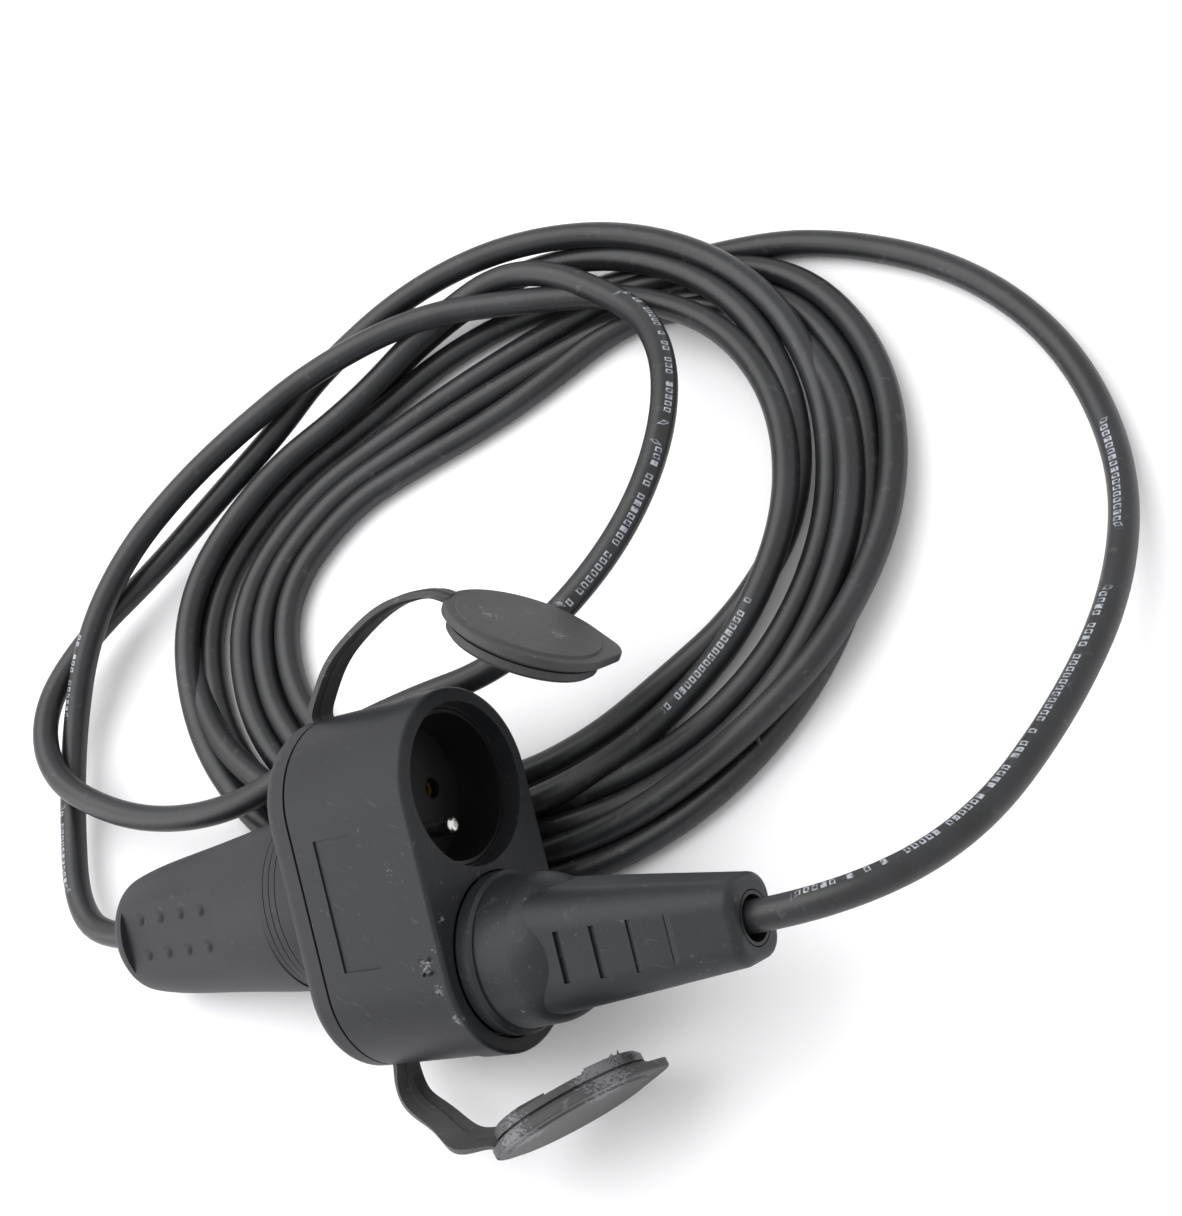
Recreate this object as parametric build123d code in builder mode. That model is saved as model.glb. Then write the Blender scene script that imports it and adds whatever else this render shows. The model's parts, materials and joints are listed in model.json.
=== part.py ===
from build123d import *
from math import pi, radians, tan
import os

os.makedirs("parts", exist_ok=True)

# Socket block, in its own axes: X out of the sockets, Z along the block, Y across it
socket_spacing = 45.2
side_radius = 25.2
collar_step = 0.5
collar_depth = 9.0
housing_depth = 41.4
cover_depth = 8.4
cover_round = 4.6
wall = 2.8
slide_clearance = 0.3
contact_clearance = 0.15

# Mouths and socket cups
mouth_radius = 21.7
mouth_depth = 5.1
cup_radius = 20.6
recess_radius = 19.6
recess_depth = 15.0
cup_floor = 3.2
pin_pitch = 19.0
pin_hole_radius = 2.8
earth_offset = 10.0
earth_pin_radius = 2.4
earth_pin_reach = 13.0
earth_pin_flange = 1.2
earth_pin_flange_depth = 2.0

# Moulded panel on the side wall, locating dot on the face
panel_width = 13.0
panel_length = 35.0
panel_depth = 0.5
panel_setback = 27.6
dot_size = 1.6
dot_height = 0.4

# Seam gasket
gasket_thickness = 0.8
gasket_inset = 0.7
gasket_width = 2.2

# Neck rings and grip
neck_plain = 5.0
ring_count = 3
ring_pitch = 2.6
ring_groove = 0.6
neck_half_height = 24.6
neck_half_width = 21.5
grip_length = 84.0
grip_drop = 2.0
grip_end_radius = 6.0
grip_panel_length = 44.0
grip_panel_width = 25.0
grip_panel_depth = 0.7
grip_panel_face = 15.6
bump_pitch = 9.3
grip_panel_setback = 42.7
bump_row_gap = 10.4
bump_curve = 2.6
bump_height = 0.8

# Live parts behind the cups
bar_thickness = 1.2
bar_width = 6.0
sleeve_wall = 0.7
sleeve_length = 16.5
screw_radius = 1.7
screw_reach = 2.6
screw_head_radius = 3.1
screw_head_height = 2.2
screw_slot = 0.9
wire_radius = 1.2
wire_offset = 4.6
wire_spread = 1.9
wire_lift = 2.2
wire_drop = 1.1
wire_run = 8.3

# Cord clamp in the neck
pocket_depth = 14.0
pocket_width = 26.0
pocket_height = 20.0
boss_setback = 7.0
boss_offset = 8.6
boss_size = 6.0
clamp_bar_height = 3.0
clamp_bar_length = 23.0
clamp_screw_radius = 1.2
clamp_screw_head = 2.6
clamp_screw_length = 11.0
clamp_screw_head_height = 1.8

# Plug
plug_rim_radius = 21.2
plug_rim_width = 5.0
plug_shoulder_radius = 19.8
plug_face_radius = 18.7
plug_pin_radius = 2.4
plug_pin_length = 19.0
plug_grip_start = 8.0
plug_grip_end = 75.8
plug_grip_half_height = 15.6
plug_grip_half_width = 15.0
plug_tip_half_height = 10.4
plug_tip_half_width = 9.6
groove_pitch = 10.3
groove_count = 5
groove_start = 17.8
groove_length = 13.0
groove_width = 1.8
earth_socket_radius = 3.4
earth_socket_bore = 2.6
earth_socket_length = 14.4
plug_dome_start = 15.0
plug_dome_start_drop = 0.6
plug_dome_middle = 22.6
plug_dome_middle_drop = 3.4
plug_dome_end = 27.0
plug_dome_end_radius = 12.0
plug_pin_seat = 8.0
plug_earth_inset = 0.4

# Cord
cord_diameter = 8.1
gland_radius = 6.6
gland_depth = 5.0
gland_wall = 0.9
floor_clearance = 0.25

# Caps and straps
cap_radius = 23.2
cap_edge_round = 0.6
cap_rim = 2.2
cap_crown_radius = 20.3
cap_crown = 0.6
cap_crown_taper = 40
cap_under = 1.0
cap_under_inset = 0.4
cap_under_taper = 50
cap_neck_radius = 19.7
cap_neck = 0.8
cap_ring_radius = 20.9
cap_ring = 3.0
cap_lip = 1.0
cap_cavity_radius = 16.5
cap_cavity_depth = 4.0
tab_length = 2.8
tab_radius = 9.0
strap_width = 8.6
strap_thickness = 2.6
strap_rib = 0.5
foot_length = 4.4
foot_clearance = 0.2
foot_head_width = 12.6
foot_head_height = 2.0
foot_neck_drop = 1.2
foot_top_inset = 0.4
strap_root_inset = 0.6
strap_exit_rise = 2.0
torn_depth = 1.1
torn_length = 26.0
torn_width = 7.0
torn_shift = -7.0

# Resting pose: the block lies on its side on the floor and on the coil
block_x = 46.0
block_y = -2.0
block_z = 45.8
rest_pitch = 13.05
rest_roll = 63.1

# Derived sizes
half_spacing = socket_spacing / 2
collar_radius = side_radius + collar_step
seam_x = -housing_depth
cover_x = seam_x - gasket_thickness
back_x = cover_x - cover_depth
cup_front = -mouth_depth
recess_back = cup_front - recess_depth
cup_back = recess_back - cup_floor
cavity_x = cup_back - slide_clearance
cord_radius = cord_diameter / 2
inner_back_x = back_x + wall
end_z = half_spacing + side_radius
foot_x = cover_x - foot_length / 2
boss_x = inner_back_x - boss_setback
neck_length = neck_plain + ring_count * ring_pitch
grip_x = back_x - neck_length
grip_end_x = grip_x - grip_length + neck_length

level = Location((block_x, block_y, block_z), (0, -rest_pitch, 0))
rest = level * Location((0, 0, 0), (-rest_roll, 0, 0))


def socket_plane(x, side):
    return Plane((x, 0, side * half_spacing), x_dir=(0, 1, 0), z_dir=(1, 0, 0))


def across(x):
    return Plane((x, 0, 0), x_dir=(0, 1, 0), z_dir=(1, 0, 0))


# Housing: the capsule block with its stepped collar and two mouths
with BuildPart() as housing:
    with BuildSketch(across(seam_x)):
        SlotCenterToCenter(socket_spacing, 2 * side_radius, rotation=90)
    extrude(amount=housing_depth - collar_depth / 2)
    with BuildSketch(across(-collar_depth)):
        SlotCenterToCenter(socket_spacing, 2 * collar_radius, rotation=90)
    extrude(amount=collar_depth)
    fillet(housing.faces().sort_by(Axis.X)[-1].edges(), 1.2)
    with BuildSketch(across(0)):
        with Locations((0, half_spacing), (0, -half_spacing)):
            Circle(mouth_radius)
    extrude(amount=-mouth_depth, mode=Mode.SUBTRACT)
    with BuildSketch(across(cup_front)):
        with Locations((0, half_spacing), (0, -half_spacing)):
            Circle(cup_radius + slide_clearance)
    extrude(amount=-(housing_depth - mouth_depth), mode=Mode.SUBTRACT)
    with BuildSketch(across(seam_x)):
        SlotCenterToCenter(socket_spacing, 2 * (side_radius - wall), rotation=90)
    extrude(amount=cavity_x - seam_x, mode=Mode.SUBTRACT)
    with Locations((-panel_setback, -side_radius + panel_depth / 2, 0)):
        Box(panel_width, panel_depth, panel_length, mode=Mode.SUBTRACT)
    with Locations((dot_height / 2 - 0.01, -collar_radius + 3.4, -half_spacing / 3)):
        Box(dot_height, dot_size, dot_size)

# Gasket in the seam, set in from the outside so that the seam shows as a dark line
with BuildPart() as seam_gasket:
    with BuildSketch(across(cover_x)):
        SlotCenterToCenter(socket_spacing, 2 * (side_radius - gasket_inset), rotation=90)
        SlotCenterToCenter(
            socket_spacing,
            2 * (side_radius - gasket_inset - gasket_width),
            rotation=90,
            mode=Mode.SUBTRACT,
        )
    extrude(amount=gasket_thickness)

# Rear cover with the ringed neck and the tapering grip, one moulding
grip_stations = [
    (grip_x, neck_half_width, neck_half_height, 0.45),
    (grip_x - 20, 19.4, 22.8, 0.65),
    (grip_x - 40, 17.6, 20.8, 0.8),
    (grip_x - 60, 16.0, 18.6, 0.95),
    (grip_end_x, 14.2, 16.0, 1.0),
]
grip_slope = 4.4
with BuildPart() as rear_grip:
    with BuildSketch(across(back_x)):
        SlotCenterToCenter(socket_spacing, 2 * side_radius, rotation=90)
    extrude(amount=cover_depth)
    fillet(rear_grip.faces().sort_by(Axis.X)[0].edges(), cover_round)
    with BuildSketch(across(cover_x)):
        SlotCenterToCenter(socket_spacing, 2 * (side_radius - wall), rotation=90)
    extrude(amount=-(cover_depth - wall), mode=Mode.SUBTRACT)
    with BuildSketch(across(back_x)):
        with Locations((0, -grip_drop * 0.3)):
            Ellipse(neck_half_width + 0.9, neck_half_height + 0.6)
    extrude(amount=-neck_plain)
    for ring in range(ring_count):
        ring_x = back_x - neck_plain - ring * ring_pitch
        with BuildSketch(across(ring_x)):
            with Locations((0, -grip_drop * 0.3)):
                Ellipse(neck_half_width - 0.4, neck_half_height - 0.6)
        extrude(amount=-ring_groove)
        with BuildSketch(across(ring_x - ring_groove)):
            with Locations((0, -grip_drop * 0.3)):
                Ellipse(neck_half_width + 0.6 - 0.3 * ring, neck_half_height + 0.4 - 0.3 * ring)
        extrude(amount=-(ring_pitch - ring_groove))
    for station in grip_stations:
        with BuildSketch(across(station[0])):
            with Locations((0, -grip_drop * station[3])):
                Ellipse(station[1], station[2])
    loft()
    fillet(rear_grip.faces().sort_by(Axis.X)[0].edges(), grip_end_radius)
    with BuildSketch(across(grip_end_x)):
        with Locations((0, -grip_drop)):
            Circle(gland_radius + slide_clearance)
    extrude(amount=gland_depth, mode=Mode.SUBTRACT)
    with BuildSketch(across(cover_x)):
        with Locations((0, end_z - wall / 2), (0, -end_z + wall / 2)):
            Rectangle(strap_width + foot_clearance, wall + 2 * cover_round)
    extrude(amount=-foot_length, mode=Mode.SUBTRACT)
    with BuildSketch(across(inner_back_x)):
        with Locations((0, -grip_drop)):
            Rectangle(pocket_height, pocket_width)
    extrude(amount=-pocket_depth, mode=Mode.SUBTRACT)
    with BuildSketch(across(inner_back_x - pocket_depth)):
        with Locations((0, -grip_drop)):
            Circle(cord_radius)
    extrude(amount=grip_end_x - inner_back_x + pocket_depth, mode=Mode.SUBTRACT)
    for side in (1, -1):
        boss_height = pocket_height / 2 + cord_radius
        with Locations((boss_x, cord_radius - boss_height / 2, side * boss_offset - grip_drop)):
            Box(boss_size, boss_height, boss_size)
            Cylinder(clamp_screw_radius, 2 * boss_height, rotation=(90, 0, 0), mode=Mode.SUBTRACT)
    with Locations(Location((grip_x - grip_panel_setback, -grip_panel_face, -1.0), (0, 0, -grip_slope))):
        with Locations((0, -5 + grip_panel_depth, 0)):
            Box(grip_panel_length, 10, grip_panel_width, mode=Mode.SUBTRACT)
        with Locations(Location((0, grip_panel_depth, 0), (90, 0, 0))):
            with GridLocations(bump_pitch, bump_row_gap, 4, 2):
                with Locations((0, 0, bump_height - bump_curve)):
                    Sphere(bump_curve)

# Socket cups with their pin holes, earth pins and contacts
cups = []
earth_pins = []
for side in (1, -1):
    with BuildPart() as cup:
        with BuildSketch(socket_plane(cup_front, side)):
            Circle(cup_radius)
        extrude(amount=-(recess_depth + cup_floor))
        with BuildSketch(socket_plane(cup_front, side)):
            Circle(recess_radius)
        extrude(amount=-recess_depth, mode=Mode.SUBTRACT)
        with BuildSketch(socket_plane(recess_back, side)):
            with Locations((pin_pitch / 2, 0), (-pin_pitch / 2, 0)):
                Circle(pin_hole_radius)
            with Locations((0, -side * earth_offset)):
                Circle(earth_pin_radius + contact_clearance)
        extrude(amount=-cup_floor, mode=Mode.SUBTRACT)
    cups.append(cup)
    with BuildPart() as earth_pin:
        with BuildSketch(socket_plane(cup_back - 2, side)):
            with Locations((0, -side * earth_offset)):
                Circle(earth_pin_radius)
        extrude(amount=2 + cup_floor + earth_pin_reach)
        fillet(earth_pin.faces().sort_by(Axis.X)[-1].edges(), 1.6)
        with BuildSketch(socket_plane(cup_back, side)):
            with Locations((0, -side * earth_offset)):
                Circle(earth_pin_radius + earth_pin_flange)
        extrude(amount=-earth_pin_flange_depth)
    earth_pins.append(earth_pin)
upper_cup, lower_cup = cups
upper_earth_pin, lower_earth_pin = earth_pins

# Live and neutral bars: a strip with a spring sleeve behind each pin hole
sleeve_front = cup_back
bar_x = sleeve_front - sleeve_length
sleeve_radius = plug_pin_radius + contact_clearance
bars = []
for side in (1, -1):
    with BuildPart() as bar:
        with BuildSketch(across(bar_x)):
            with Locations((side * pin_pitch / 2, 0)):
                SlotCenterToCenter(socket_spacing, bar_width + 2, rotation=90)
        extrude(amount=-bar_thickness)
        with BuildSketch(across(bar_x)):
            with Locations((side * pin_pitch / 2, half_spacing), (side * pin_pitch / 2, -half_spacing)):
                Circle(sleeve_radius + sleeve_wall)
        extrude(amount=sleeve_length)
        with BuildSketch(across(sleeve_front)):
            with Locations((side * pin_pitch / 2, half_spacing), (side * pin_pitch / 2, -half_spacing)):
                Circle(sleeve_radius)
        extrude(amount=-sleeve_length, mode=Mode.SUBTRACT)
        with BuildSketch(across(bar_x)):
            with Locations((side * pin_pitch / 2, 0)):
                Circle(screw_radius)
        extrude(amount=-bar_thickness, mode=Mode.SUBTRACT)
    bars.append(bar)
neutral_bar, live_bar = bars

# Earth bar across the back of both earth pins
earth_bar_x = cup_back - earth_pin_flange_depth
with BuildPart() as earth_bar:
    with BuildSketch(across(earth_bar_x)):
        SlotCenterToCenter(socket_spacing - 2 * earth_offset, bar_width, rotation=90)
        Circle(screw_radius, mode=Mode.SUBTRACT)
    extrude(amount=-bar_thickness)

# Terminal screws: three alike, one group, each through its bar
bar_back = bar_x - bar_thickness
earth_bar_back = earth_bar_x - bar_thickness
with BuildPart() as terminal_screws:
    for place, head_x in ((pin_pitch / 2, bar_back), (-pin_pitch / 2, bar_back), (0, earth_bar_back)):
        with BuildSketch(across(head_x)):
            with Locations((place, 0)):
                Circle(screw_radius)
        extrude(amount=screw_reach)
        with BuildSketch(across(head_x)):
            with Locations((place, 0)):
                Circle(screw_head_radius)
        extrude(amount=-screw_head_height)
        with Locations((head_x - screw_head_height, place, 0)):
            Box(screw_slot * 2, 2 * screw_head_radius, screw_slot, mode=Mode.SUBTRACT)

# Cord end inside the grip: it stops in the cover, clamped, and its three wires go on
sheath_end = bar_back - wire_run
with BuildPart() as cord_end:
    with BuildSketch(across(sheath_end)):
        with Locations((0, -grip_drop)):
            Circle(cord_radius)
    extrude(amount=grip_end_x + gland_depth - sheath_end)

wires = []
for side, end_x in ((-1, bar_back), (1, bar_back), (0, earth_bar_back)):
    place = side * pin_pitch / 2
    offset = side * wire_spread
    lift = -wire_drop if side else wire_lift
    with BuildPart() as wire:
        with BuildLine():
            Spline(
                (sheath_end, offset, lift - grip_drop),
                (end_x, place, wire_offset),
                tangents=((1, 0, 0), (1, 0, 0)),
            )
        with BuildSketch(Plane((sheath_end, offset, lift - grip_drop), x_dir=(0, 1, 0), z_dir=(1, 0, 0))):
            Circle(wire_radius)
        sweep()
    wires.append(wire)
live_wire, neutral_wire, earth_wire = wires

# Cord clamp: a bar over the cord on two bosses, with two screws alike
with BuildPart() as cord_clamp:
    with Locations((boss_x, cord_radius + clamp_bar_height / 2, -grip_drop)):
        Box(boss_size, clamp_bar_height, clamp_bar_length)
    with Locations((boss_x, cord_radius, boss_offset - grip_drop), (boss_x, cord_radius, -boss_offset - grip_drop)):
        Cylinder(clamp_screw_radius, 4 * clamp_bar_height, rotation=(90, 0, 0), mode=Mode.SUBTRACT)
with BuildPart() as clamp_screws:
    for side in (1, -1):
        with BuildSketch(Plane((boss_x, cord_radius + clamp_bar_height, side * boss_offset - grip_drop), z_dir=(0, 1, 0))):
            Circle(clamp_screw_head)
        extrude(amount=clamp_screw_head_height)
        with BuildSketch(Plane((boss_x, cord_radius + clamp_bar_height, side * boss_offset - grip_drop), z_dir=(0, 1, 0))):
            Circle(clamp_screw_radius)
        extrude(amount=-clamp_screw_length)

# Plug body: round rim and shoulder, then a grip with flat flanks
plug_grip_stations = [
    (plug_grip_start, 16.6, 16.9),
    (28.0, 14.9, 15.2),
    (54.0, 12.2, 12.6),
    (plug_grip_end, plug_tip_half_width, plug_tip_half_height),
]
plug_back = recess_back
dome_start = (plug_dome_start, plug_shoulder_radius - plug_dome_start_drop)
dome_middle = (plug_dome_middle, plug_shoulder_radius - plug_dome_middle_drop)
dome_end = (plug_dome_end, plug_dome_end_radius)
with BuildPart() as plug_body:
    with BuildSketch(Plane.XZ.offset(0)) as shoulder_profile:
        with BuildLine(Location((0, -half_spacing))):
            Polyline(
                (-mouth_depth, 0),
                (-mouth_depth, plug_face_radius),
                (-0.6, plug_face_radius + 0.6),
                (-0.6, plug_rim_radius - 0.8),
                (0.4, plug_rim_radius),
                (plug_rim_width - 1.0, plug_rim_radius),
                (plug_rim_width, plug_rim_radius - 0.8),
                (plug_rim_width, plug_shoulder_radius),
                dome_start,
            )
            ThreePointArc(dome_start, dome_middle, dome_end)
            Polyline(dome_end, (plug_dome_end, 0), (-mouth_depth, 0))
        make_face()
    revolve(axis=Axis((0, 0, -half_spacing), (1, 0, 0)))
    for station in plug_grip_stations:
        with BuildSketch(socket_plane(station[0], -1)):
            RectangleRounded(2 * station[1], 2 * station[2], 0.62 * station[1])
    loft()
    fillet(plug_body.faces().sort_by(Axis.X)[-1].edges(), 2.6)
    with BuildSketch(socket_plane(plug_grip_end, -1)):
        Circle(gland_radius + slide_clearance)
    extrude(amount=-gland_depth, mode=Mode.SUBTRACT)
    for groove in range(groove_count):
        depth_x = groove_start + groove * groove_pitch
        face_y = -16.2 + 0.078 * (depth_x - plug_grip_start)
        with Locations((depth_x, face_y, -half_spacing - 0.3)):
            Box(groove_width, 1.4, groove_length, mode=Mode.SUBTRACT)

# Plug face: the hard insert that holds the pins, in the lower cup
with BuildPart() as plug_insert:
    with BuildSketch(socket_plane(plug_back, -1)):
        Circle(plug_face_radius)
    extrude(amount=-mouth_depth - plug_back)
    with BuildSketch(socket_plane(plug_back, -1)):
        with Locations((0, earth_offset)):
            Circle(earth_socket_radius + contact_clearance)
    extrude(amount=earth_socket_length, mode=Mode.SUBTRACT)
    with BuildSketch(socket_plane(plug_back, -1)):
        with Locations((pin_pitch / 2, 0), (-pin_pitch / 2, 0)):
            Circle(plug_pin_radius + contact_clearance / 2)
    extrude(amount=plug_pin_seat, mode=Mode.SUBTRACT)

# Plug pins: two alike, one group
with BuildPart() as plug_pins:
    with BuildSketch(socket_plane(plug_back + plug_pin_seat, -1)):
        with Locations((pin_pitch / 2, 0), (-pin_pitch / 2, 0)):
            Circle(plug_pin_radius)
    extrude(amount=-(plug_pin_seat + plug_pin_length))
    fillet(plug_pins.faces().sort_by(Axis.X)[:2].edges(), 1.2)

# Plug earth contact: the tube that takes the lower socket's earth pin
with BuildPart() as plug_earth:
    with BuildSketch(socket_plane(plug_back + plug_earth_inset, -1)):
        with Locations((0, earth_offset)):
            Circle(earth_socket_radius)
            Circle(earth_socket_bore, mode=Mode.SUBTRACT)
    extrude(amount=earth_socket_length - plug_earth_inset)

# Gland sleeves at the two cord exits
glands = []
for plane in (socket_plane(plug_grip_end, -1), socket_plane(grip_end_x, 0)):
    inward = -1 if not glands else 1
    shift = 0 if not glands else -grip_drop
    with BuildPart() as gland:
        with BuildSketch(plane):
            with Locations((0, shift)):
                Circle(gland_radius)
                Circle(gland_radius - gland_wall, mode=Mode.SUBTRACT)
        extrude(amount=inward * gland_depth)
    glands.append(gland)
plug_gland, grip_gland = glands

# Sealing caps on their straps, one moulding each: crown, rim, groove, sealing ring, tab, strap and foot
def strap_plane(before, station, after):
    x, y, z, twist = station
    ahead = (Vector(*after[:3]) - Vector(*before[:3])).normalized()
    across = Vector(0, 1, 0) - ahead * ahead.Y
    return Plane((x, y, z), x_dir=across.rotate(Axis((0, 0, 0), ahead), twist), z_dir=ahead)


# Both caps are placed from their own slot in the cover, so they follow the housing
def from_slot(side, x, y, z):
    return (foot_x + x, y, side * end_z + z)


upper_face = Plane(from_slot(1, 62.7, 18.0, 10.9), x_dir=(0.592, 0.658, -0.466), z_dir=(0.6, 0.026, 0.8))
lower_face = Plane(from_slot(-1, 59.0, -6.0, -16.8), x_dir=(0.723, 0.651, 0.23), z_dir=(0.393, -0.114, -0.912))
upper_strap = [
    (*from_slot(1, 0, 0, -strap_root_inset), 0),
    (*from_slot(1, 0, 0, strap_exit_rise), 0),
    (*from_slot(1, 5.0, 0.3, 9.0), 0),
    (*from_slot(1, 11.0, 1.0, 15.2), 0),
    (*from_slot(1, 18.6, 2.2, 20.1), 0),
    (*from_slot(1, 28.3, 4.0, 24.5), 0),
    (*from_slot(1, 34.7, 6.0, 25.8), 0),
    (*from_slot(1, 41.0, 7.7, 25.5), 0),
    (*from_slot(1, 46.3, 9.8, 22.8), 0),
]
lower_strap = [
    (*from_slot(-1, 0, 0, strap_root_inset), 0),
    (*from_slot(-1, 0.1, -0.2, -strap_exit_rise), 2),
    (*from_slot(-1, 1.8, -2.0, -6.8), 10),
    (*from_slot(-1, 8.0, -5.5, -11.1), 20),
    (*from_slot(-1, 20.7, -11.0, -15.8), 28),
    (*from_slot(-1, 33.2, -16.5, -18.2), 24),
    (*from_slot(-1, 44.8, -18.8, -19.8), 16),
]
caps = []
for face, stations, side in ((upper_face, upper_strap, 1), (lower_face, lower_strap, -1)):
    with BuildPart() as cap:
        with BuildSketch(face.offset(-cap_rim)):
            Circle(cap_radius)
            with Locations((cap_radius + tab_length - tab_radius, 0)):
                Circle(tab_radius)
            make_hull()
        extrude(amount=cap_rim)
        fillet(cap.faces().sort_by(Axis(face.origin, face.z_dir))[-1].edges(), cap_edge_round)
        with BuildSketch(face):
            Circle(cap_crown_radius)
        extrude(amount=cap_crown, taper=cap_crown_taper)
        with BuildSketch(face.offset(-cap_rim)):
            Circle(cap_radius - cap_under_inset)
        extrude(amount=-cap_under, taper=cap_under_taper)
        with BuildSketch(face.offset(-cap_rim - cap_under)):
            Circle(cap_neck_radius)
        extrude(amount=-cap_neck)
        with BuildSketch(face.offset(-cap_rim - cap_under - cap_neck)):
            Circle(cap_ring_radius)
        extrude(amount=-(cap_ring - cap_lip))
        with BuildSketch(face.offset(-cap_rim - cap_under - cap_neck - cap_ring)):
            Circle(cap_ring_radius - cap_lip)
        with BuildSketch(face.offset(-cap_rim - cap_under - cap_neck - cap_ring + cap_lip)):
            Circle(cap_ring_radius)
        loft()
        with BuildSketch(face.offset(-cap_rim - cap_under - cap_neck - cap_ring)):
            Circle(cap_cavity_radius)
        extrude(amount=cap_cavity_depth, mode=Mode.SUBTRACT)
        root = (stations[0][0], 0, stations[0][2] - side)
        ends = [root] + stations[:-1]
        planes = [strap_plane(*near) for near in zip(ends, stations, stations[1:] + stations[-1:])]
        for plane in planes:
            with BuildSketch(plane):
                Rectangle(strap_width, strap_thickness - 2 * strap_rib)
        loft()
        for plane in planes:
            with BuildSketch(plane):
                Rectangle(strap_thickness - strap_rib, strap_thickness)
        loft()
        foot_base = Plane((foot_x, 0, side * (end_z - wall - foot_head_height)), z_dir=(0, 0, side))
        with BuildSketch(foot_base):
            Rectangle(foot_length, foot_head_width)
        extrude(amount=foot_head_height - foot_neck_drop)
        with BuildSketch(foot_base):
            Rectangle(foot_length, strap_width)
        extrude(amount=foot_head_height + wall - foot_top_inset)
    caps.append(cap)
upper_cap, lower_cap = caps

# Sealing ring of the lower cap, torn away along one stretch of its lip
lip = lower_face.offset(-cap_rim - cap_under - cap_neck - cap_ring)
with BuildPart(mode=Mode.PRIVATE) as torn:
    with BuildSketch(lip):
        with Locations((torn_shift, cap_ring_radius - torn_width / 4)):
            Rectangle(torn_length, torn_width)
    extrude(amount=torn_depth)
with lower_cap:
    add(torn.part, mode=Mode.SUBTRACT)

placed = [housing, seam_gasket, rear_grip, upper_cup, lower_cup]
placed += [upper_earth_pin, lower_earth_pin, live_bar, neutral_bar, earth_bar]
placed += [plug_body, plug_insert, plug_pins, plug_earth, plug_gland, grip_gland]
placed += [terminal_screws, cord_end, live_wire, neutral_wire, earth_wire, cord_clamp, clamp_screws]
placed += [upper_cap, lower_cap]
for piece in placed:
    piece.part.locate(rest)

# Cord: from the plug round the outside to the coil, out of the coil in one loop, and to the grip
def along(x, y, z):
    return tuple((rest * Location((x, y, z))).position)


plug_recess = (plug_grip_end - gland_depth, 0, -half_spacing)
grip_recess = (grip_end_x + gland_depth, 0, -grip_drop)
outer_lead = 26.0
grip_lead = 22.6
outer_route = [
    along(*plug_recess),
    along(plug_recess[0] + outer_lead, 0, plug_recess[2]),
    (172, -4, 44),
    (193, 31, 28),
    (207, 68, 15),
    (209, 108, 5.0),
    (196, 147, 4.5),
    (170, 177, 4.5),
    (136, 195, 4.5),
    (102, 203, 4.5),
]
grip_route = [
    along(*grip_recess),
    along(grip_recess[0] - grip_lead, 0, grip_recess[2]),
    (-117.5, 7.5, 9.3),
    (-126, 38, 8.0),
    (-129.5, 68, 9.5),
    (-122, 97, 18.5),
    (-108, 123, 22.0),
    (-89, 144, 22.5),
    (-70, 161.5, 21.0),
]
loop_route = [
    (-60, 164, 13.0),
    (-82, 143, 12.0),
    (-105, 120, 11.0),
    (-129, 99.5, 11.0),
    (-139, 73.5, 15.5),
    (-129, 48.5, 17.5),
    (-101, 34, 17.6),
    (-73, 29, 19.4),
    (-44, 32, 24.0),
    (-18, 46, 28.0),
    (9, 54, 30.1),
    (37, 59, 32.4),
    (59, 77, 30.9),
    (76, 101, 29.4),
    (85, 129, 28.1),
    (84, 156, 26.4),
    (70, 180, 20.0),
]
coil_outer = [
    (-96, 81), (-85, 52), (-66, 24), (-40, 13), (-4, 10), (46, 2), (82, 8), (108, 32), (131, 64),
    (150, 103), (156, 133), (147, 168), (115, 195), (68, 212), (1, 205), (-54, 176), (-88, 131),
]
coil_inner = [
    (-50, 78), (-38, 56), (0, 43), (42, 44), (79, 65), (101, 89), (112, 116), (104, 143),
    (80, 158), (22, 155), (-19, 137), (-44, 108),
]
coil_top = 12.5
coil_rise = 4.4
coil_rise_from = 18.0
coil_limit = 60.0

with BuildPart() as coil:
    with BuildSketch(Plane.XY.offset(floor_clearance)):
        with BuildLine():
            Spline(*coil_outer, periodic=True)
        make_face()
        with BuildLine():
            Spline(*coil_inner, periodic=True)
        make_face(mode=Mode.SUBTRACT)
    extrude(amount=coil_limit)
    with BuildSketch(Plane((0, coil_rise_from, coil_top), x_dir=(1, 0, 0), z_dir=Vector(0, 0, 1).rotate(Axis.X, coil_rise))):
        Rectangle(900, 900)
    extrude(amount=2 * coil_limit, mode=Mode.SUBTRACT)

tubes = []
for route in (outer_route, grip_route, loop_route):
    steps = [Vector(*b) - Vector(*a) for a, b in zip(route, route[1:])]
    bends = []
    for first, second in zip(steps, steps[1:]):
        shorter = min(first.length, second.length)
        bends.append(0.45 * shorter / tan(radians(first.get_angle(second) / 2)))
    print("bend radii", [round(bend, 1) for bend in bends])
    with BuildPart() as tube:
        with BuildLine() as centre:
            FilletPolyline(*route, radius=bends)
        with BuildSketch(Plane(route[0], z_dir=steps[0])):
            Circle(cord_radius)
        sweep(transition=Transition.RIGHT)
        swept = pi * cord_radius**2 * centre.wires()[0].length
        print("volume over section times length", round(tube.part.volume / swept, 3))
        add(coil.part, mode=Mode.SUBTRACT)
    tubes.append(tube)
outer_run, grip_run, loop_run = tubes

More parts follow.
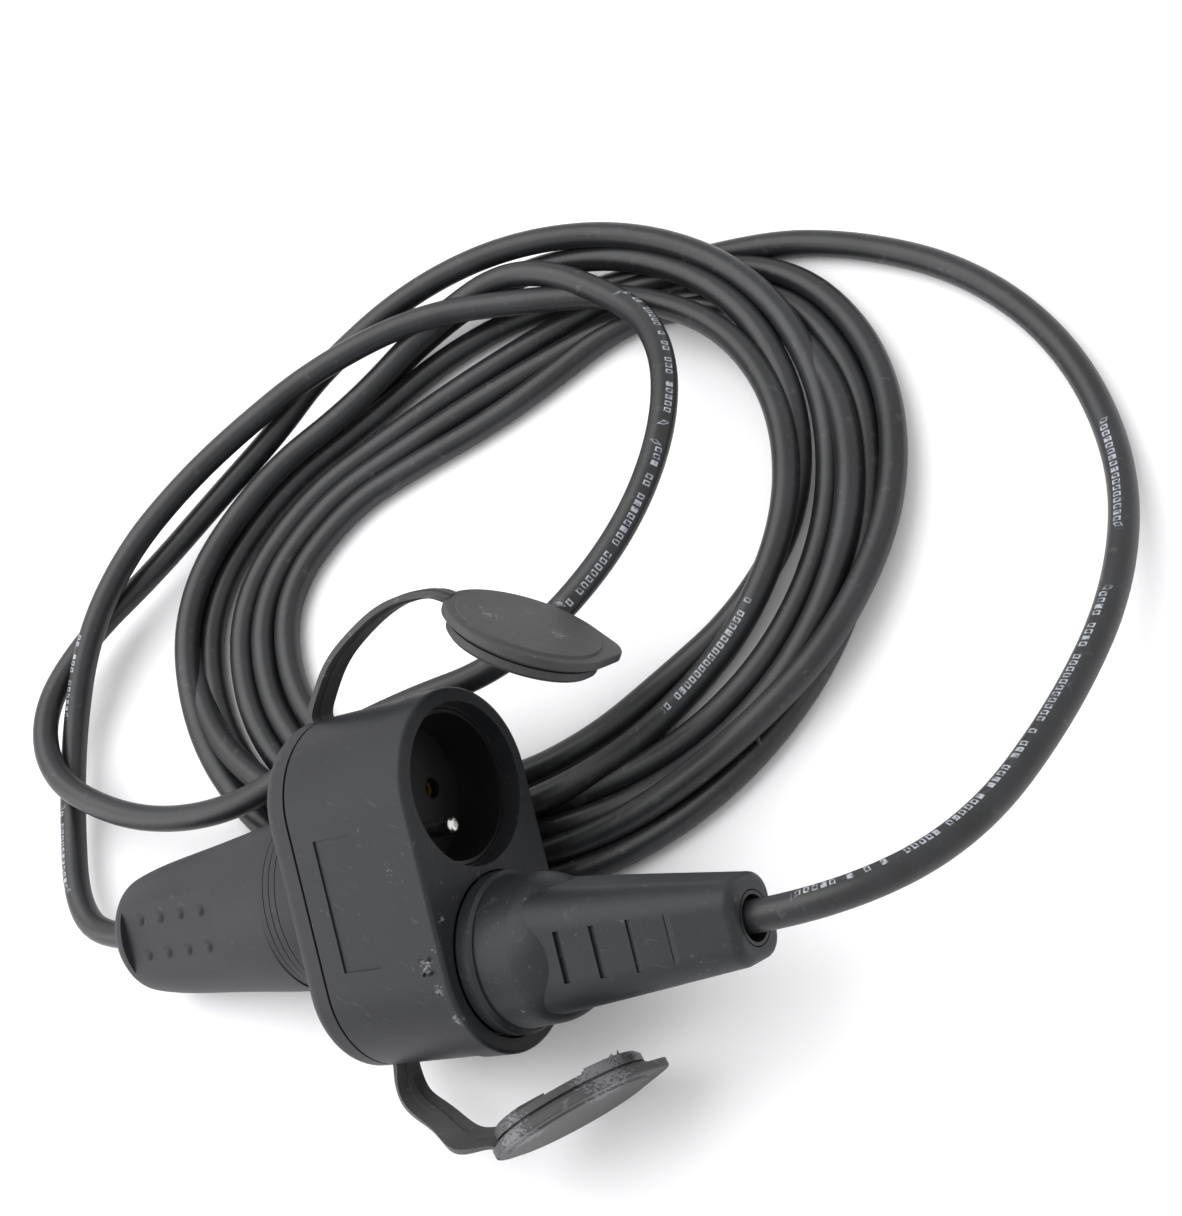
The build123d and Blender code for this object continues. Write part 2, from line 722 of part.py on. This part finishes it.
housing.part.label = "housing"
export_step(housing.part, "parts/housing.step")
seam_gasket.part.label = "seam_gasket"
export_step(seam_gasket.part, "parts/seam_gasket.step")
rear_grip.part.label = "rear_grip"
export_step(rear_grip.part, "parts/rear_grip.step")
upper_cup.part.label = "upper_socket_cup"
export_step(upper_cup.part, "parts/upper_socket_cup.step")
lower_cup.part.label = "lower_socket_cup"
export_step(lower_cup.part, "parts/lower_socket_cup.step")
upper_earth_pin.part.label = "upper_earth_pin"
export_step(upper_earth_pin.part, "parts/upper_earth_pin.step")
lower_earth_pin.part.label = "lower_earth_pin"
export_step(lower_earth_pin.part, "parts/lower_earth_pin.step")
live_bar.part.label = "live_bar"
export_step(live_bar.part, "parts/live_bar.step")
neutral_bar.part.label = "neutral_bar"
export_step(neutral_bar.part, "parts/neutral_bar.step")
earth_bar.part.label = "earth_bar"
export_step(earth_bar.part, "parts/earth_bar.step")
plug_body.part.label = "plug_body"
export_step(plug_body.part, "parts/plug_body.step")
plug_insert.part.label = "plug_insert"
export_step(plug_insert.part, "parts/plug_insert.step")
plug_pins.part.label = "plug_pins"
export_step(plug_pins.part, "parts/plug_pins.step")
plug_earth.part.label = "plug_earth_contact"
export_step(plug_earth.part, "parts/plug_earth_contact.step")
plug_gland.part.label = "plug_gland"
export_step(plug_gland.part, "parts/plug_gland.step")
grip_gland.part.label = "grip_gland"
export_step(grip_gland.part, "parts/grip_gland.step")
terminal_screws.part.label = "terminal_screws"
export_step(terminal_screws.part, "parts/terminal_screws.step")
cord_end.part.label = "cord_end"
export_step(cord_end.part, "parts/cord_end.step")
live_wire.part.label = "live_wire"
export_step(live_wire.part, "parts/live_wire.step")
neutral_wire.part.label = "neutral_wire"
export_step(neutral_wire.part, "parts/neutral_wire.step")
earth_wire.part.label = "earth_wire"
export_step(earth_wire.part, "parts/earth_wire.step")
cord_clamp.part.label = "cord_clamp"
export_step(cord_clamp.part, "parts/cord_clamp.step")
clamp_screws.part.label = "clamp_screws"
export_step(clamp_screws.part, "parts/clamp_screws.step")
upper_cap.part.label = "upper_cap"
export_step(upper_cap.part, "parts/upper_cap.step")
lower_cap.part.label = "lower_cap"
export_step(lower_cap.part, "parts/lower_cap.step")
outer_run.part.label = "cord_outer_run"
export_step(outer_run.part, "parts/cord_outer_run.step")
grip_run.part.label = "cord_grip_run"
export_step(grip_run.part, "parts/cord_grip_run.step")
loop_run.part.label = "cord_loop_run"
export_step(loop_run.part, "parts/cord_loop_run.step")
coil.part.label = "cord_coil"
export_step(coil.part, "parts/cord_coil.step")
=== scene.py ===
import bpy
import json
import math
import random
from mathutils import Matrix, Vector


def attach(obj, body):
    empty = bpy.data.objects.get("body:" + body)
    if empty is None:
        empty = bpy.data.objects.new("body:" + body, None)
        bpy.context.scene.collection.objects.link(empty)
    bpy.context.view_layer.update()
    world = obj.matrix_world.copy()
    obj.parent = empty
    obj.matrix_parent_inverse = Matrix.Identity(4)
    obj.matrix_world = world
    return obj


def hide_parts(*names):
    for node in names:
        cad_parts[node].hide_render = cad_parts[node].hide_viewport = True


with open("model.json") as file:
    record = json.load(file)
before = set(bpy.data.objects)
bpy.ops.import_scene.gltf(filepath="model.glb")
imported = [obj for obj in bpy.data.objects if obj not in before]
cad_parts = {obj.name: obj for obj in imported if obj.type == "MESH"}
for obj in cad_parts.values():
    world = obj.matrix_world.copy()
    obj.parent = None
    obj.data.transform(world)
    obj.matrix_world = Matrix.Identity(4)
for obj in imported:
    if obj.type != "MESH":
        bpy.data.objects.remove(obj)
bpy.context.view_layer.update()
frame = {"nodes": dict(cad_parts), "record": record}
print("stage: CAD nodes loaded", len(frame["nodes"]))

# small helpers


def linkObject(name, data):
    piece = bpy.data.objects.new(name, data)
    bpy.context.scene.collection.objects.link(piece)
    return piece


def meshObject(name, verts, faces, smooth=True):
    mesh = bpy.data.meshes.new(name)
    mesh.from_pydata(verts, [], faces)
    mesh.validate()
    for polygon in mesh.polygons:
        polygon.use_smooth = smooth
    return linkObject(name, mesh)


def mm(point):
    return Vector(point) / 1000


# camera, at the place and angle of the photograph

cameraFit = {
    "place": (270.4, -131.5, 464.4),  # mm from the origin
    "right": (0.9103, 0.0374, -0.4124),
    "down": (-0.1319, -0.9179, -0.3743),
    "view": (-0.3925, 0.3951, -0.8306),
    "lens": 55.54,
    "sensor": 36,
    "nearest": 0.01,  # m
}


def makeCamera(fit):
    data = bpy.data.cameras.new("photoCamera")
    data.sensor_fit = "AUTO"
    data.sensor_width = fit["sensor"]
    data.lens = fit["lens"]
    data.clip_start = fit["nearest"]
    camera = linkObject("photoCamera", data)
    right, down, view = (Vector(fit[key]).normalized() for key in ("right", "down", "view"))
    turn = Matrix((right, -down, -view)).transposed().to_4x4()
    camera.matrix_world = Matrix.Translation(mm(fit["place"])) @ turn
    bpy.context.scene.camera = camera


makeCamera(cameraFit)

# pale floor and soft light, mostly from above and from the left

studio = {
    "floorSize": 6.0,
    "floorColor": (0.975, 0.97, 0.985, 1),
    "floorRoughness": 0.6,
    "floorSpecular": 0.15,
    "worldColor": (1.0, 1.0, 1.0, 1),
    "worldStrength": 0.95,
    "lights": [  # name, place, target, size, watts
        ("topLight", (-0.55, 0.35, 1.25), (0.02, 0.05, 0.0), 1.6, 15),
        ("leftLight", (-1.3, -0.5, 0.7), (0.0, 0.05, 0.03), 1.1, 7),
    ],
}


def makeStudio(values):
    world = bpy.data.worlds.new("paleRoom")
    world.use_nodes = True
    background = world.node_tree.nodes["Background"]
    background.inputs["Color"].default_value = values["worldColor"]
    background.inputs["Strength"].default_value = values["worldStrength"]
    bpy.context.scene.world = world
    bpy.context.scene.view_settings.view_transform = "Standard"
    half = values["floorSize"] / 2
    corners = [(-half, -half, 0), (half, -half, 0), (half, half, 0), (-half, half, 0)]
    floor = meshObject("floor", corners, [(0, 1, 2, 3)])
    material = bpy.data.materials.new("paleFloor")
    material.use_nodes = True
    shader = material.node_tree.nodes["Principled BSDF"]
    shader.inputs["Base Color"].default_value = values["floorColor"]
    shader.inputs["Roughness"].default_value = values["floorRoughness"]
    shader.inputs["Specular IOR Level"].default_value = values["floorSpecular"]
    floor.data.materials.append(material)
    for name, place, target, size, watts in values["lights"]:
        data = bpy.data.lights.new(name, "AREA")
        data.shape = "DISK"
        data.size = size
        data.energy = watts
        light = linkObject(name, data)
        light.location = place
        aim = Vector(target) - Vector(place)
        light.rotation_euler = aim.to_track_quat("-Z", "Y").to_euler()


makeStudio(studio)
print("stage: camera, floor and light")

# materials


def newMaterial(name, roughness, specular=0.5, metallic=0.0):
    material = bpy.data.materials.new(name)
    material.use_nodes = True
    tree = material.node_tree
    shader = tree.nodes["Principled BSDF"]
    shader.inputs["Roughness"].default_value = roughness
    shader.inputs["Specular IOR Level"].default_value = specular
    shader.inputs["Metallic"].default_value = metallic
    return material, tree, shader


def addNode(tree, kind, settings=None, **inputs):
    node = tree.nodes.new(kind)
    for key, value in (settings or {}).items():
        setattr(node, key, value)
    for key, value in inputs.items():
        numbered = key[0] == "i" and key[1:].isdigit()  # i0, i1: by place, where names repeat
        socket = node.inputs[int(key[1:])] if numbered else node.inputs[key]
        if isinstance(value, bpy.types.NodeSocket):
            tree.links.new(value, socket)
        else:
            socket.default_value = value
    return node


def arithmetic(tree, kind, first, second=0.0):
    node = tree.nodes.new("ShaderNodeMath")
    node.operation = kind
    for socket, value in zip(node.inputs, (first, second)):
        if isinstance(value, bpy.types.NodeSocket):
            tree.links.new(value, socket)
        else:
            socket.default_value = value
    return node.outputs[0]


def objectPoint(tree):
    return addNode(tree, "ShaderNodeTexCoord").outputs["Object"]


def noise(tree, point, scale, detail=4.0, roughness=0.55, stretch=None):
    if stretch:
        point = addNode(tree, "ShaderNodeMapping", Vector=point, Scale=stretch).outputs[0]
    node = addNode(
        tree, "ShaderNodeTexNoise", Vector=point, Scale=scale, Detail=detail, Roughness=roughness)
    return node.outputs["Fac"]


def ramp(tree, value, stops):
    node = addNode(tree, "ShaderNodeValToRGB", i0=value)
    elements = node.color_ramp.elements
    while len(elements) < len(stops):
        elements.new(0.5)
    for element, (place, color) in zip(elements, stops):
        element.position = place
        element.color = color if len(color) == 4 else (*color, 1)
    return node.outputs["Color"]


def gray(value):
    return (value, value, value, 1)


def mix(tree, amount, first, second, blend="MIX"):
    node = tree.nodes.new("ShaderNodeMix")
    node.data_type = "RGBA"
    node.blend_type = blend
    for socket, value in ((node.inputs[0], amount), (node.inputs[6], first), (node.inputs[7], second)):
        if isinstance(value, bpy.types.NodeSocket):
            tree.links.new(value, socket)
        else:
            socket.default_value = value
    return node.outputs[2]


def bump(tree, shader, height, strength, distance):
    node = addNode(tree, "ShaderNodeBump", Height=height, Strength=strength, Distance=distance)
    tree.links.new(node.outputs["Normal"], shader.inputs["Normal"])


rubberLook = {
    "specular": 0.35,
    "darker": 0.78,
    "lighter": 1.28,
    "dustColor": (0.2, 0.195, 0.185, 1),
    "scratchColor": (0.11, 0.11, 0.108, 1),
    "wornColor": (0.17, 0.172, 0.18, 1),
    "smoother": 0.07,
    "rougher": 0.1,
    "grainDepth": 0.0002,  # m
}
wornFlecks = {
    "scale": 950,
    "detail": 5,
    "roughness": 0.7,
    "stretch": (1, 1.6, 0.6),
    "from": 0.3,
    "to": 0.36,
}


def wornSpots(tree, point, spots):
    total = None
    for place, radius, amount in spots:
        centre = tuple(mm(place))
        away = addNode(tree, "ShaderNodeVectorMath", {"operation": "DISTANCE"}, i0=point, i1=centre)
        near = addNode(tree, "ShaderNodeMapRange", Value=away.outputs["Value"])
        near.inputs["From Max"].default_value = radius / 1000
        near.inputs["To Min"].default_value = amount
        near.inputs["To Max"].default_value = 0.0
        if total is None:
            total = near.outputs[0]
        else:
            total = arithmetic(tree, "MAXIMUM", total, near.outputs[0])
    look = wornFlecks
    flecks = noise(tree, point, look["scale"], look["detail"], look["roughness"], look["stretch"])
    strength = arithmetic(tree, "MULTIPLY", flecks, total)
    return ramp(tree, strength, [(look["from"], gray(0)), (look["to"], gray(0.9))])


def mouldedRubber(name, tone, roughness=0.5, dust=0.5, scratch=0.5, grain=0.35, spots=()):
    material, tree, shader = newMaterial(name, roughness, rubberLook["specular"])
    point = objectPoint(tree)
    cloud = noise(tree, point, 38, 5, 0.6)
    fine = noise(tree, point, 900, 3, 0.6)
    dark = tuple(channel * rubberLook["darker"] for channel in tone)
    light = tuple(channel * rubberLook["lighter"] for channel in tone)
    color = ramp(tree, cloud, [(0.3, dark), (0.72, light)])
    specks = ramp(tree, noise(tree, point, 520, 2, 0.5), [(0.66, gray(0)), (0.74, gray(1))])
    patches = ramp(tree, noise(tree, point, 60, 3, 0.6), [(0.5, gray(0)), (0.66, gray(dust))])
    dusty = mix(tree, 1.0, specks, patches, "MULTIPLY")
    color = mix(tree, dusty, color, rubberLook["dustColor"])
    streaks = noise(tree, point, 130, 4, 0.65, (1, 1, 9))
    lines = ramp(tree, streaks, [(0.63, gray(0)), (0.68, gray(scratch * 0.5))])
    color = mix(tree, lines, color, rubberLook["scratchColor"])
    if spots:
        color = mix(tree, wornSpots(tree, point, spots), color, rubberLook["wornColor"])
    tree.links.new(color, shader.inputs["Base Color"])
    rough = addNode(tree, "ShaderNodeMapRange", Value=cloud)
    rough.inputs["To Min"].default_value = roughness - rubberLook["smoother"]
    rough.inputs["To Max"].default_value = roughness + rubberLook["rougher"]
    tree.links.new(rough.outputs[0], shader.inputs["Roughness"])
    bump(tree, shader, fine, grain, rubberLook["grainDepth"])
    return material


def plainFinish(name, color, roughness, metallic=0.0, grain=0.15, scale=600):
    material, tree, shader = newMaterial(name, roughness, 0.5, metallic)
    point = objectPoint(tree)
    cloud = noise(tree, point, 90, 3, 0.6)
    dark = tuple(channel * 0.85 for channel in color)
    light = tuple(min(1, channel * 1.12) for channel in color)
    tone = ramp(tree, cloud, [(0.25, dark), (0.75, light)])
    tree.links.new(tone, shader.inputs["Base Color"])
    bump(tree, shader, noise(tree, point, scale, 3, 0.6), grain, 0.0001)
    return material


wornPlaces = {  # where, how far it reaches in mm, and how strong it is
    "housing": [
        ((37, -30, 59), 6, 0.82), ((40, -36, 56), 6, 0.74), ((43, -42, 51), 7, 0.74),
        ((41, -26, 60), 5, 0.8), ((43, -19, 62), 5, 0.76), ((1, -20, 56), 9, 0.6), ((30, -7, 68), 12, 0.6),
    ],
    "caps": [
        ((54, 59, 68.5), 16, 0.66), ((69, 55.5, 57), 14, 0.68), ((77, -55, 40), 20, 0.95),
        ((81, -48, 25), 16, 0.9), ((58, -70, 43), 18, 0.9),
    ],
}
finishes = {
    "housing_rubber": mouldedRubber(
        "housingRubber", (0.0115, 0.0125, 0.0145), 0.5, 0.3, 0.3, spots=wornPlaces["housing"]),
    "grip_rubber": mouldedRubber("gripRubber", (0.019, 0.0195, 0.023), 0.55, 0.15, 0.12),
    "plug_rubber": mouldedRubber("plugRubber", (0.0125, 0.015, 0.017), 0.48, 0.35, 0.25),
    "cap_rubber": mouldedRubber(
        "capRubber", (0.05, 0.05, 0.052), 0.55, 0.75, 1.5, spots=wornPlaces["caps"]),
    "gasket_rubber": plainFinish("gasketRubber", (0.005, 0.005, 0.005), 0.6),
    "gland_rubber": plainFinish("glandRubber", (0.006, 0.006, 0.0065), 0.55),
    "socket_plastic": plainFinish("socketPlastic", (0.006, 0.006, 0.006), 0.38),
    "plug_plastic": plainFinish("plugPlastic", (0.02, 0.02, 0.02), 0.4),
    "pin_metal": plainFinish("pinMetal", (0.72, 0.71, 0.68), 0.25, 1.0, 0.05),
    "contact_brass": plainFinish("contactBrass", (0.72, 0.52, 0.22), 0.35, 1.0, 0.05),
    "screw_steel": plainFinish("screwSteel", (0.6, 0.6, 0.62), 0.3, 1.0, 0.05),
    "wire_brown": plainFinish("wireBrown", (0.12, 0.045, 0.02), 0.45),
    "wire_blue": plainFinish("wireBlue", (0.03, 0.1, 0.4), 0.45),
    "wire_green": plainFinish("wireGreen", (0.16, 0.32, 0.03), 0.45),
    "clamp_plastic": plainFinish("clampPlastic", (0.3, 0.3, 0.28), 0.5),
}

slotOfNode = {entry["node"]: entry["material_slot"] for entry in frame["record"]["subparts"]}


def dressNodes():
    for name, node in frame["nodes"].items():
        finish = finishes.get(slotOfNode[name])
        if finish:
            for slot in node.material_slots:
                slot.material = finish


dressNodes()
print("stage: CAD nodes dressed")

# torn rubber: the gouge at the collar's edge and the ragged ring of the lower cap

shardShape = {
    "corners": 7,
    "sunk": 0.5,  # mm under the surface
    "narrowest": 0.55,
    "widest": 1.15,
    "sway": 0.6,
}
tornGouge = {
    "slot": "housing_rubber",
    "lean": (-0.2, -0.45, 0.87),  # outward from the surface
    "seed": 5,
    "shards": [  # place, reach and rise, mm
        ((36.6, -29.0, 59.0), 1.9, 1.2), ((38.0, -31.4, 58.2), 1.4, 1.6), ((35.4, -31.4, 57.6), 1.5, 0.9),
        ((38.6, -28.6, 59.8), 1.0, 1.0), ((39.4, -36.0, 55.8), 1.1, 0.8),
    ],
}
tornRing = {
    "slot": "cap_rubber",
    "lean": (0.25, 0.83, 0.5),
    "seed": 9,
    "shards": [
        ((78.3, -52.0, 39.8), 1.5, 1.3), ((79.0, -51.0, 38.2), 1.2, 1.9), ((79.6, -50.6, 36.8), 1.6, 1.2),
        ((80.3, -50.0, 35.4), 1.1, 2.0), ((81.0, -49.8, 33.6), 1.5, 1.1), ((81.7, -49.4, 32.0), 1.2, 1.5),
    ],
}


def tornPiece(name, values):
    dice = random.Random(values["seed"])
    lean = Vector(values["lean"]).normalized()
    side = lean.cross(Vector((1, 0, 0))).normalized()
    other = lean.cross(side)
    corners = shardShape["corners"]
    verts, faces = [], []
    for place, reach, rise in values["shards"]:
        base = len(verts)
        foot = Vector(place) - shardShape["sunk"] * lean
        for spoke in range(corners):
            turn = 2 * math.pi * spoke / corners
            out = reach * dice.uniform(shardShape["narrowest"], shardShape["widest"])
            verts.append(mm(foot + out * (math.cos(turn) * side + math.sin(turn) * other)))
        sway = shardShape["sway"] * reach
        tip = sway * (dice.uniform(-1, 1) * side + dice.uniform(-1, 1) * other)
        verts.append(mm(Vector(place) + rise * lean + tip))
        faces.append(tuple(reversed(range(base, base + corners))))
        for spoke in range(corners):
            faces.append((base + spoke, base + (spoke + 1) % corners, base + corners))
    piece = meshObject(name, verts, faces, smooth=False)
    piece.data.materials.append(finishes[values["slot"]])
    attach(piece, "root")


tornPiece("tornGouge", tornGouge)
tornPiece("tornRing", tornRing)
print("stage: torn rubber made")

# the cord: from the grip to the plug, on one smooth curve

cordSize = {  # mm, but for the faces around
    "diameter": 8.1,
    "around": 18,
    "ringStep": 2.6,
    "lowest": 4.5,
    "spread": 1.02,  # makes up for the curve running inside its points
}
coilCentre = (30.0, 108.0)
compass = (90, 135, 180, 225, 270, 315, 360, 405)  # degrees of each column below
turnsBelow = [  # reach from the centre and height at each compass point, one row a turn
    [(86.6, 4.6), (81.5, 4.6), (113.9, 4.6), (106, 4.6), (96, 4.6), (99, 13), (116, 8), (118, 4.6)],
    [(74.5, 4.6), (70.5, 4.6), (101.4, 4.6), (97.5, 4.6), (88, 4.6), (93.4, 4.6), (104.5, 11), (102, 5)],
    [(64.6, 4.6), (62.8, 4.6), (93.3, 4.6), (89.5, 4.6), (80, 4.6), (85.5, 4.6), (96, 4.6), (107, 12)],
    [(102.5, 20), (101, 17)],
]
turnsAbove = [  # the same, for the turns on top
    [(94.6, 20), (83.4, 13), (118.5, 12), (114, 5), (104, 4.6), (103, 4.6), (108, 4.6), (110, 4.6)],
    [(56, 4.6), (54.5, 4.6), (84.5, 4.6), (81, 4.6), (71, 4.6), (65.4, 4.6), (86, 4.6), (99, 12)],
    [(98, 12), (89.5, 4.6), (121.5, 4.6), (102, 13), (84, 12), (74, 4.6), (86, 12), (90, 12)],
    [(81, 18), (96.6, 24)],
]
outerRun = [  # from the plug to the coil
    (114.1, -22.1, 51.8), (140, -22.1, 57.7), (172, -4, 44), (193, 31, 28), (207, 68, 15),
    (209, 108, 5), (196, 147, 4.5), (170, 177, 4.5), (136, 195, 4.5), (102, 203, 4.5),
]
loopRun = [  # from the lower turns, round the grip's end, to the upper turns
    (-60, 164, 13), (-82, 143, 12), (-105, 120, 11), (-129, 99.5, 11), (-139, 73.5, 15.5),
    (-129, 48.5, 17.5), (-101, 34, 17.6), (-73, 29, 19.4), (-44, 32, 24), (-18, 46, 28),
    (9, 54, 30.1), (37, 59, 32.4), (59, 77, 30.9), (76, 101, 29.4), (85, 129, 28.1),
    (84, 156, 26.4), (70, 180, 20),
]
gripRun = [  # from the upper turns to the grip
    (-70, 161.5, 21), (-89, 144, 22.5), (-108, 123, 22), (-122, 97, 18.5), (-129.5, 68, 9.5),
    (-126, 38, 8), (-117.5, 7.5, 9.3), (-102, -3.8, 10.6), (-80, -3.8, 15.8),
]
printMarks = {
    "pitch": 0.0021,  # m, from one mark to the next
    "half": 0.0011,  # m, half a mark's height
    "middle": 0.45,
    "box": 0.34,
    "hole": 0.17,
    "holeHeight": 0.55,
    "filled": 0.35,  # share of the marks with no hole
    "missing": 0.16,
    "color": (0.42, 0.45, 0.5, 1),
    "stretches": [  # from, to, and how far the print is turned from the top, in degrees
        ((136, -22.1, 57), (205, 62, 17), 20),
        ((208, 85, 10), (207, 118, 5), 20),
        ((-129, 72, 9.5), (-122, 97, 18.5), -20),
        ((-120, 15, 9), (-126, 38, 8), -20),
        ((59, 77, 30.9), (76, 101, 29.4), -50),
        ((85, 129, 28.1), (70, 180, 20), -50),
        ((76, 101, 29.4), (84, 122, 28.5), -50),
        ((112, 37, 4.6), (137, 72, 4.6), 40),
        ((82, 50, 4.6), (104, 78, 4.6), 0),
    ],
}


def easeBetween(before, first, second, after, share):
    slope = second - before + share * (
        2 * before - 5 * first + 4 * second - after
        + share * (3 * (first - second) + after - before))
    return first + 0.5 * share * slope


def coilPoints(rows):
    stops = [stop for row in rows for stop in row]
    last = len(stops) - 1
    points = []
    for step in range(2 * last + 1):
        index, share = step // 2, (step % 2) / 2
        near = [stops[min(max(index + shift, 0), last)] for shift in (-1, 0, 1, 2)]
        reach, height = (easeBetween(*(stop[axis] for stop in near), share) for axis in (0, 1))
        angle = math.radians(compass[0] + (compass[1] - compass[0]) * (index + share))
        out = cordSize["spread"] * reach
        points.append((
            coilCentre[0] + out * math.cos(angle),
            coilCentre[1] + out * math.sin(angle),
            max(height, cordSize["lowest"])))
    return points


def cordCurve(points):
    data = bpy.data.curves.new("cordRoute", "CURVE")
    data.dimensions = "3D"
    data.resolution_u = 10
    spline = data.splines.new("NURBS")
    spline.points.add(len(points) - 1)
    for target, point in zip(spline.points, points):
        target.co = (*mm(point), 1)
    spline.order_u = 3
    spline.use_endpoint_u = True
    return data


def readCurve(data, step):
    route = linkObject("cordRoute", data)
    bpy.context.view_layer.update()
    graph = bpy.context.evaluated_depsgraph_get()
    line = bpy.data.meshes.new_from_object(route.evaluated_get(graph))
    points = [vertex.co.copy() for vertex in line.vertices]
    bpy.data.objects.remove(route)
    even = [points[0]]
    left = step
    for first, second in zip(points, points[1:]):
        run = (second - first).length
        at = left
        while at <= run:
            even.append(first.lerp(second, at / run))
            at += step
        left = at - run
    even.append(points[-1])
    return even


def ringFrames(points):
    frames = []
    side = Vector((0, 0, 1))
    for index, point in enumerate(points):
        before = points[max(index - 1, 0)]
        after = points[min(index + 1, len(points) - 1)]
        ahead = (after - before).normalized()
        side = (side - ahead * side.dot(ahead)).normalized()
        frames.append((point, side.copy(), ahead.cross(side)))
    return frames


def sweepTube(name, points, radius, around):
    frames = ringFrames(points)
    verts, faces = [], []
    for point, side, other in frames:
        for spoke in range(around):
            turn = 2 * math.pi * spoke / around
            verts.append(point + radius * (math.cos(turn) * side + math.sin(turn) * other))
    for ring in range(len(frames) - 1):
        for spoke in range(around):
            beside = (spoke + 1) % around
            faces.append((ring * around + spoke, ring * around + beside,
                          (ring + 1) * around + beside, (ring + 1) * around + spoke))
    faces.append(tuple(reversed(range(around))))
    end = (len(frames) - 1) * around
    faces.append(tuple(range(end, end + around)))
    piece = meshObject(name, verts, faces)
    along = piece.data.uv_layers.new(name="alongAround")  # flat map of the whole cord
    for polygon in piece.data.polygons:
        base = polygon.index // around
        for loop in polygon.loop_indices:
            vertex = piece.data.loops[loop].vertex_index
            ring, spoke = divmod(vertex, around)
            wrap = 1 if polygon.index % around == around - 1 and spoke == 0 else 0
            along.data[loop].uv = (ring / (len(frames) - 1), spoke / around + wrap)
    return piece


def inBand(tree, value, middle, half):
    away = arithmetic(tree, "ABSOLUTE", arithmetic(tree, "SUBTRACT", value, middle))
    return arithmetic(tree, "LESS_THAN", away, half)


def markMask(tree):
    place = addNode(tree, "ShaderNodeUVMap", {"uv_map": "printPlace"}).outputs[0]
    split = addNode(tree, "ShaderNodeSeparateXYZ", Vector=place)
    along, across = split.outputs[0], split.outputs[1]
    marks = printMarks
    cell = arithmetic(tree, "DIVIDE", along, marks["pitch"])
    number = arithmetic(tree, "FLOOR", cell)
    inCell = arithmetic(tree, "FRACT", cell)
    dice = addNode(tree, "ShaderNodeTexWhiteNoise", {"noise_dimensions": "1D"}, W=number)
    chance = dice.outputs["Value"]
    box = arithmetic(
        tree, "MULTIPLY", inBand(tree, inCell, marks["middle"], marks["box"]),
        inBand(tree, across, 0, marks["half"]))
    hole = arithmetic(
        tree, "MULTIPLY", inBand(tree, inCell, marks["middle"], marks["hole"]),
        inBand(tree, across, 0, marks["half"] * marks["holeHeight"]))
    hollow = arithmetic(tree, "MULTIPLY", hole, arithmetic(tree, "GREATER_THAN", chance, marks["filled"]))
    shape = arithmetic(tree, "MULTIPLY", box, arithmetic(tree, "SUBTRACT", 1.0, hollow))
    gaps = arithmetic(tree, "GREATER_THAN", chance, marks["missing"])
    rub = noise(tree, objectPoint(tree), 900, 3, 0.6)
    worn = ramp(tree, rub, [(0.38, gray(0.15)), (0.52, gray(0.85))])
    kept = addNode(tree, "ShaderNodeAttribute", {"attribute_name": "printed"}).outputs["Fac"]
    return arithmetic(tree, "MULTIPLY", arithmetic(tree, "MULTIPLY", shape, gaps),
                      arithmetic(tree, "MULTIPLY", worn, kept))


def nearestRing(points, place):
    target = mm(place)
    return min(range(len(points)), key=lambda index: (points[index] - target).length)


def layPrint(piece, points, around, step, radius):
    rings = len(points)
    printed = [0.0] * rings
    turned = [0.0] * rings
    for first, last, turn in printMarks["stretches"]:
        low, high = sorted((nearestRing(points, first), nearestRing(points, last)))
        for ring in range(low, high + 1):
            printed[ring] = 1.0
            turned[ring] = turn / 360
    kept = piece.data.attributes.new("printed", "FLOAT", "POINT")
    kept.data.foreach_set("value", [printed[index // around] for index in range(rings * around)])
    layer = piece.data.uv_layers.new(name="printPlace")
    for polygon in piece.data.polygons:
        for loop in polygon.loop_indices:
            ring, spoke = divmod(piece.data.loops[loop].vertex_index, around)
            share = (spoke / around - turned[ring] + 0.5) % 1 - 0.5
            layer.data[loop].uv = (ring * step, share * 2 * math.pi * radius)


cordLook = {
    "roughness": 0.4,
    "specular": 0.5,
    "dark": (0.008, 0.0085, 0.0095),
    "light": (0.02, 0.021, 0.0235),
    "scuffColor": (0.075, 0.075, 0.078, 1),
    "grain": 0.25,
    "grainDepth": 0.0002,  # m
}


def cordRubber(look):
    material, tree, shader = newMaterial("cordRubber", look["roughness"], look["specular"])
    point = objectPoint(tree)
    color = ramp(tree, noise(tree, point, 45, 5, 0.6), [(0.3, look["dark"]), (0.75, look["light"])])
    scuff = ramp(tree, noise(tree, point, 240, 4, 0.65), [(0.6, gray(0)), (0.72, gray(0.45))])
    color = mix(tree, scuff, color, look["scuffColor"])
    color = mix(tree, markMask(tree), color, printMarks["color"])
    tree.links.new(color, shader.inputs["Base Color"])
    bump(tree, shader, noise(tree, point, 700, 3, 0.6), look["grain"], look["grainDepth"])
    return material


def makeCord():
    route = [*reversed(gripRun), *reversed(coilPoints(turnsAbove)), *reversed(loopRun),
             *reversed(coilPoints(turnsBelow)), *reversed(outerRun)]
    step, radius = cordSize["ringStep"] / 1000, cordSize["diameter"] / 2000
    points = readCurve(cordCurve(route), step)
    cord = sweepTube("cord", points, radius, cordSize["around"])
    layPrint(cord, points, cordSize["around"], step, radius)
    cord.data.materials.append(cordRubber(cordLook))
    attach(cord, "root")
    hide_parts("cord_outer_run", "cord_grip_run", "cord_loop_run", "cord_coil")


makeCord()
print("stage: cord made")
